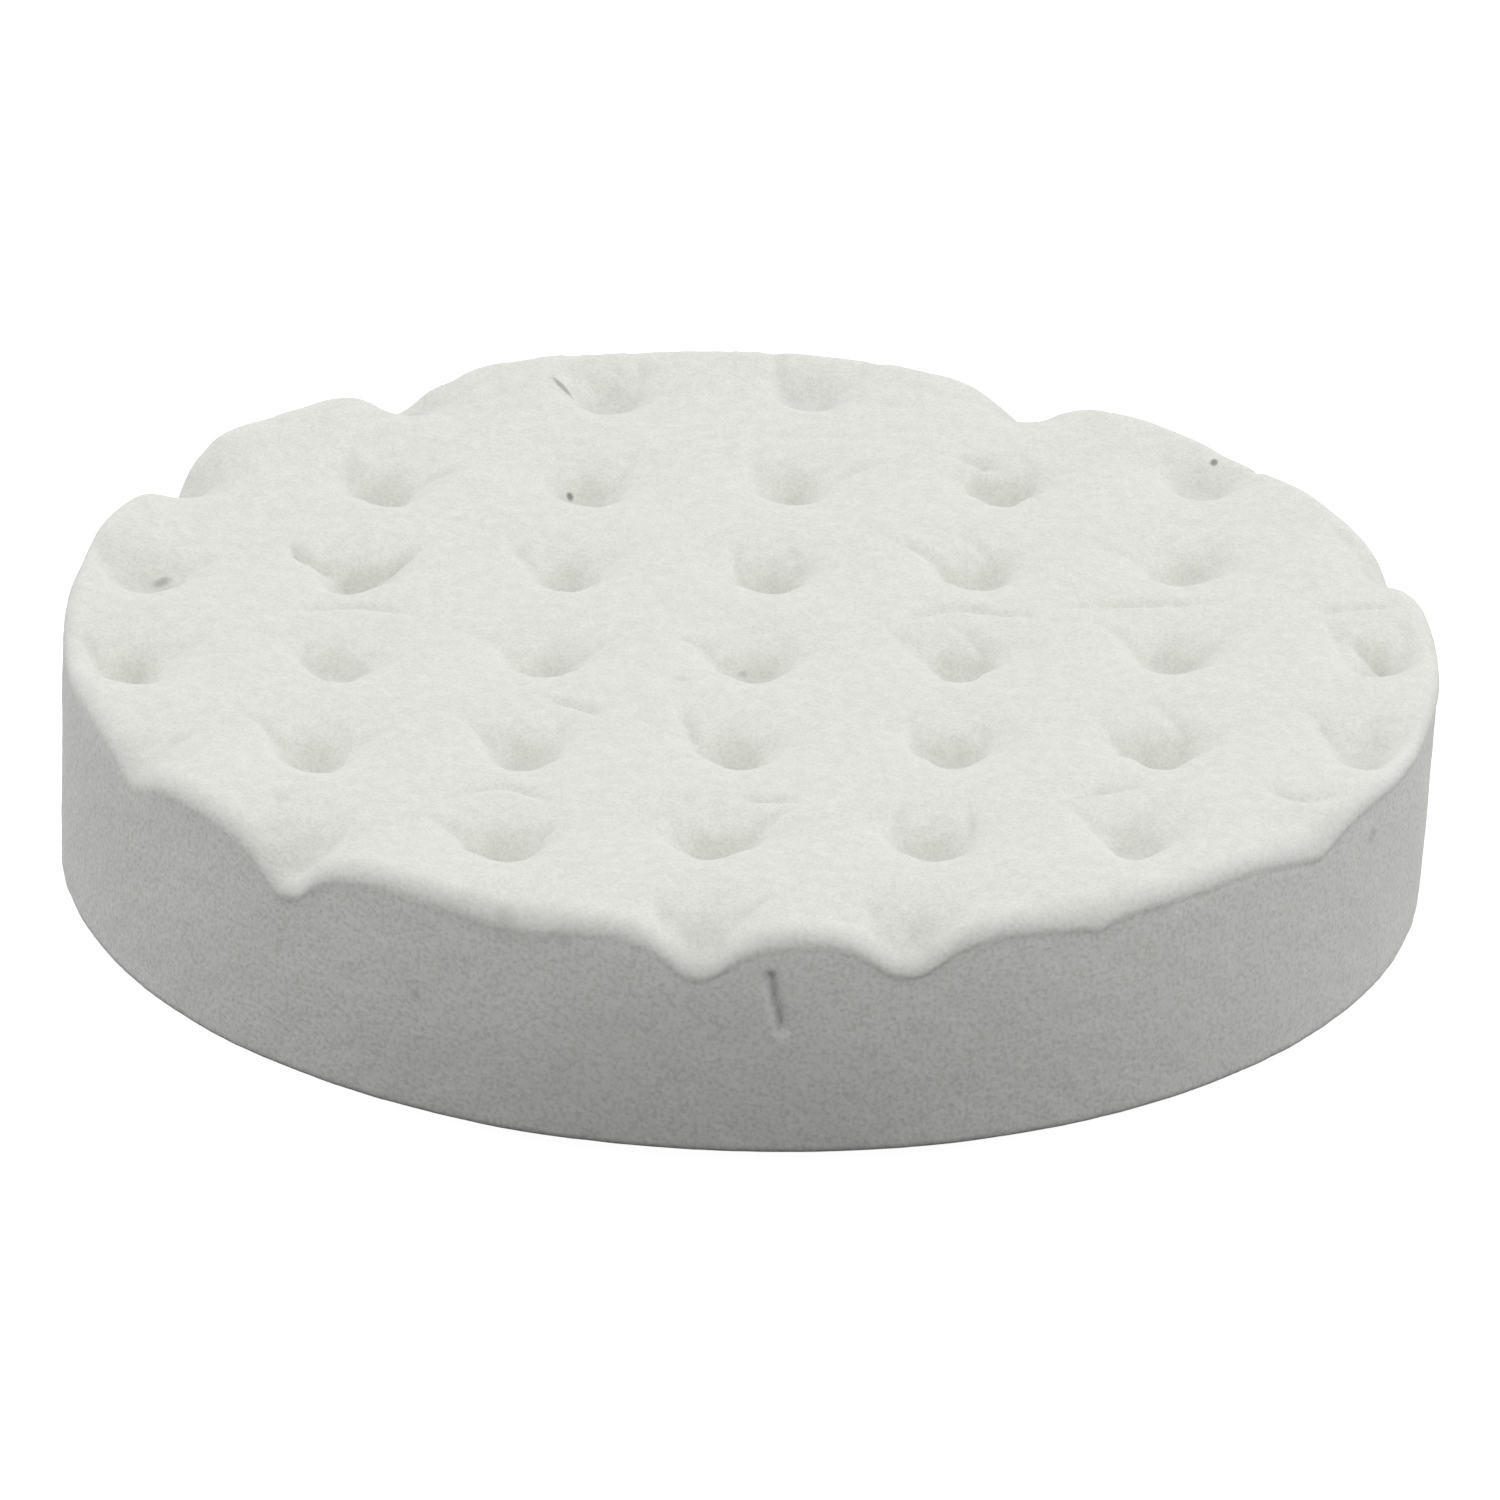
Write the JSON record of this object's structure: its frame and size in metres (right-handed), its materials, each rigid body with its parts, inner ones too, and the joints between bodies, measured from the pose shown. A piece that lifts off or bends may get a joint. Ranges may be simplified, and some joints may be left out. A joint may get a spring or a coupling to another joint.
{
  "type": "foam polishing pad",
  "caption": "Round dimpled foam polishing pad with a scalloped rim and a hook-and-loop back, for a rotary or random-orbit polisher.",
  "frame": {"origin": "middle of the loop cloth's underside, which is the face that the backing plate grips", "axes": "+Z along the pad's spin axis, from the loop back to the dimpled working face; a row of dimples runs 5 degrees off +X"},
  "size_m": [0.1396, 0.1396, 0.0277],
  "materials": {
    "white_foam": "matte",
    "film": "satin",
    "loop_cloth": "matte"
  },
  "bodies": {
    "root": {"foam_disc": "white_foam", "adhesive_film": "film", "loop_backing": "loop_cloth"}
  },
  "joints": []
}
